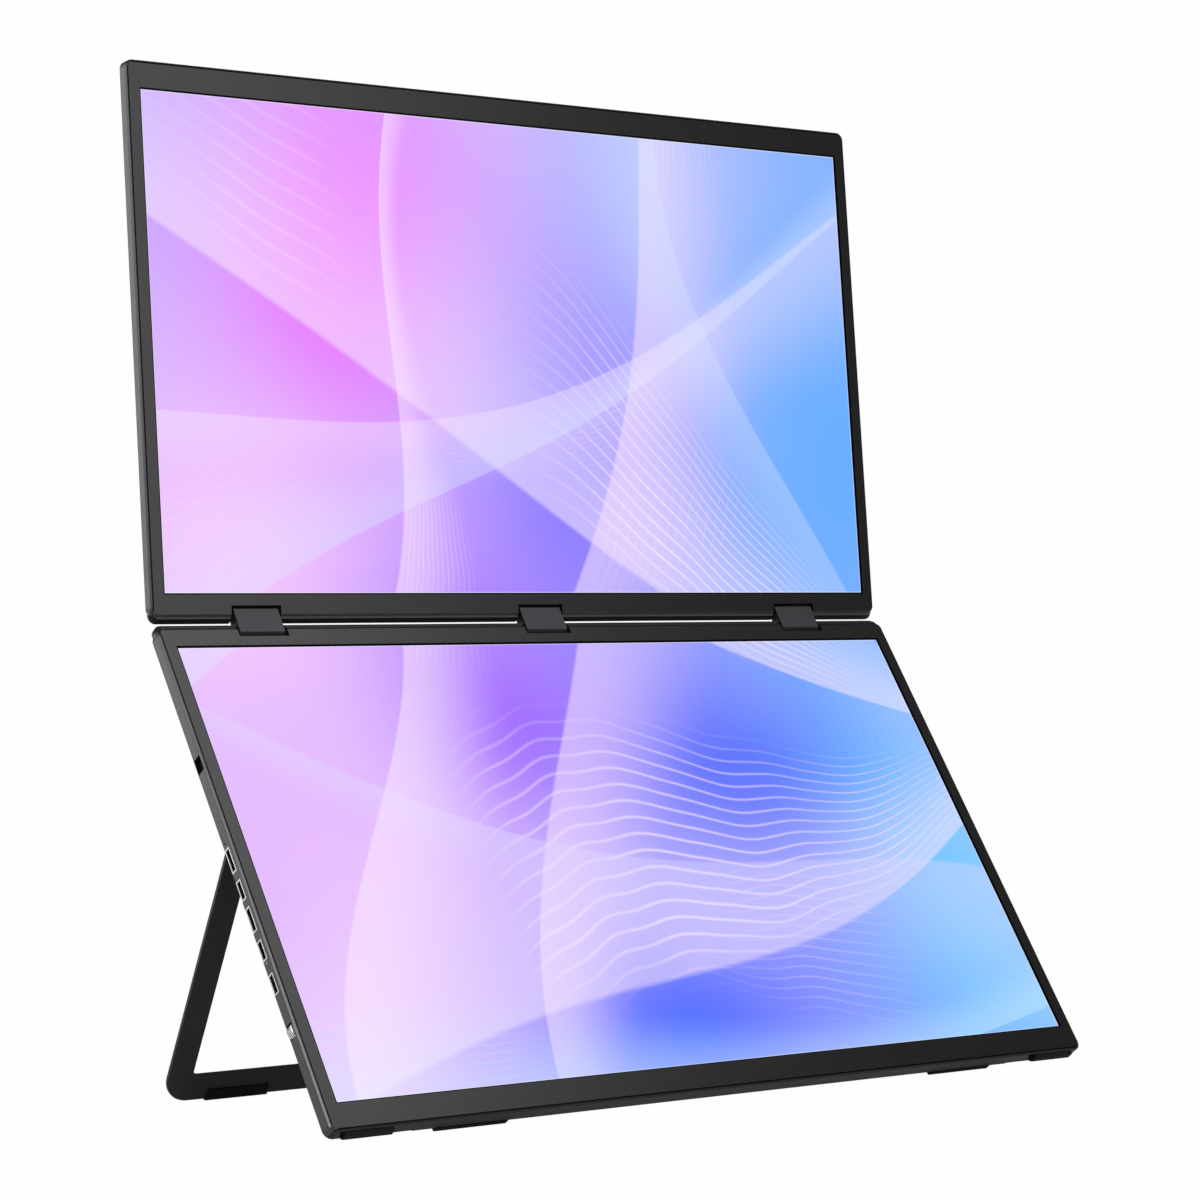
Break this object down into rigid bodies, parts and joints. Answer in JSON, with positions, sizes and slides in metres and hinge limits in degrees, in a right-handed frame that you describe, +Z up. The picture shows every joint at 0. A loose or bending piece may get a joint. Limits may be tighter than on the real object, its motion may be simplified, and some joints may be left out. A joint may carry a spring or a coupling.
{
  "type": "dual-screen portable monitor",
  "caption": "Folding portable monitor with one slim display hinged above another and a swinging U-shaped rear stand.",
  "frame": {"origin": "centre of the footprint on the table that the feet stand on", "axes": "+X along the hinges to the right as seen from the front, -Y towards the viewer, +Z up"},
  "size_m": [0.4252, 0.1985, 0.4772],
  "materials": {
    "cover": "satin dark grey painted aluminium",
    "frame": "satin black",
    "screen": "lit screen with a soft violet to pink picture",
    "guide": "clear",
    "steel": "plain",
    "board": "solder mask",
    "black_plastic": "matt",
    "copper_film": "flexible film",
    "rubber": "matt black",
    "cable": "soft black sleeve",
    "link_metal": "satin black",
    "stand_metal": "satin black powder coat",
    "bright": "polished",
    "lamp": "clear light pipe",
    "led": "white with yellow emitters",
    "dark_screw": "black oxide"
  },
  "bodies": {
    "lower_display": {"lower_rear_cover": "cover", "lower_front_frame": "frame", "lower_lcd_panel": "screen", "lower_light_guide": "guide", "lower_led_strip": "led", "lower_mid_plate": "steel", "lower_cover_screws": "dark_screw", "main_board": "board", "board_screws": "steel", "mini_hdmi_sockets": "steel", "usb_c_sockets": "steel", "speakers": "black_plastic", "lower_display_ribbon": "copper_film", "front_feet": "rubber", "rest_pads": "rubber", "left_lower_bracket": "steel", "middle_lower_bracket": "steel", "right_lower_bracket": "steel", "lower_bracket_screws": "steel", "left_stand_bracket": "steel", "right_stand_bracket": "steel", "wheel_switch": "black_plastic", "status_light": "lamp", "lower_feed_cable": "cable"},
    "hinge_links": {"left_hinge_link": "link_metal", "middle_hinge_link": "link_metal", "right_hinge_link": "link_metal", "left_lower_pin": "steel", "middle_lower_pin": "steel", "right_lower_pin": "steel", "left_upper_pin": "steel", "middle_upper_pin": "steel", "right_upper_pin": "steel", "link_cable": "cable"},
    "upper_display": {"upper_rear_cover": "cover", "upper_front_frame": "frame", "upper_lcd_panel": "screen", "upper_light_guide": "guide", "upper_led_strip": "led", "upper_mid_plate": "steel", "upper_cover_screws": "dark_screw", "driver_board": "board", "upper_display_ribbon": "copper_film", "left_upper_bracket": "steel", "middle_upper_bracket": "steel", "right_upper_bracket": "steel", "upper_bracket_screws": "steel", "upper_feed_cable": "cable"},
    "stand": {"stand_frame": "stand_metal", "stand_feet": "rubber", "left_stand_pin": "steel", "right_stand_pin": "steel"},
    "wheel_cradle": {"wheel_cradle": "steel"},
    "control_wheel": {"control_wheel": "bright"}
  },
  "joints": [
    {"name": "link_tilt", "type": "hinge", "parent": "lower_display", "child": "hinge_links", "pos_m": [0, 0.0419, 0.21547], "axis": [1, 0, 0], "range_deg": [-52.7, 87.3]},
    {"name": "upper_tilt", "type": "hinge", "parent": "hinge_links", "child": "upper_display", "pos_m": [0, 0.04733, 0.22469], "axis": [1, 0, 0], "range_deg": [-77.8, 62.2]},
    {"name": "stand_swing", "type": "hinge", "parent": "lower_display", "child": "stand", "pos_m": [0, 0.00808, 0.15443], "axis": [1, 0, 0], "range_deg": [-63.27, 10]},
    {"name": "wheel_press", "type": "slide", "parent": "lower_display", "child": "wheel_cradle", "axis": [1, 0, 0], "range_m": [0, 0.0003], "stiffness_N_per_m": 800, "springref_m": -0.0005},
    {"name": "wheel_turn", "type": "hinge", "parent": "wheel_cradle", "child": "control_wheel", "pos_m": [-0.20968, -0.06856, 0.04503], "axis": [0, 0.8368, -0.5476], "range_deg": [-18, 18], "stiffness_Nm_per_rad": 0.004}
  ]
}
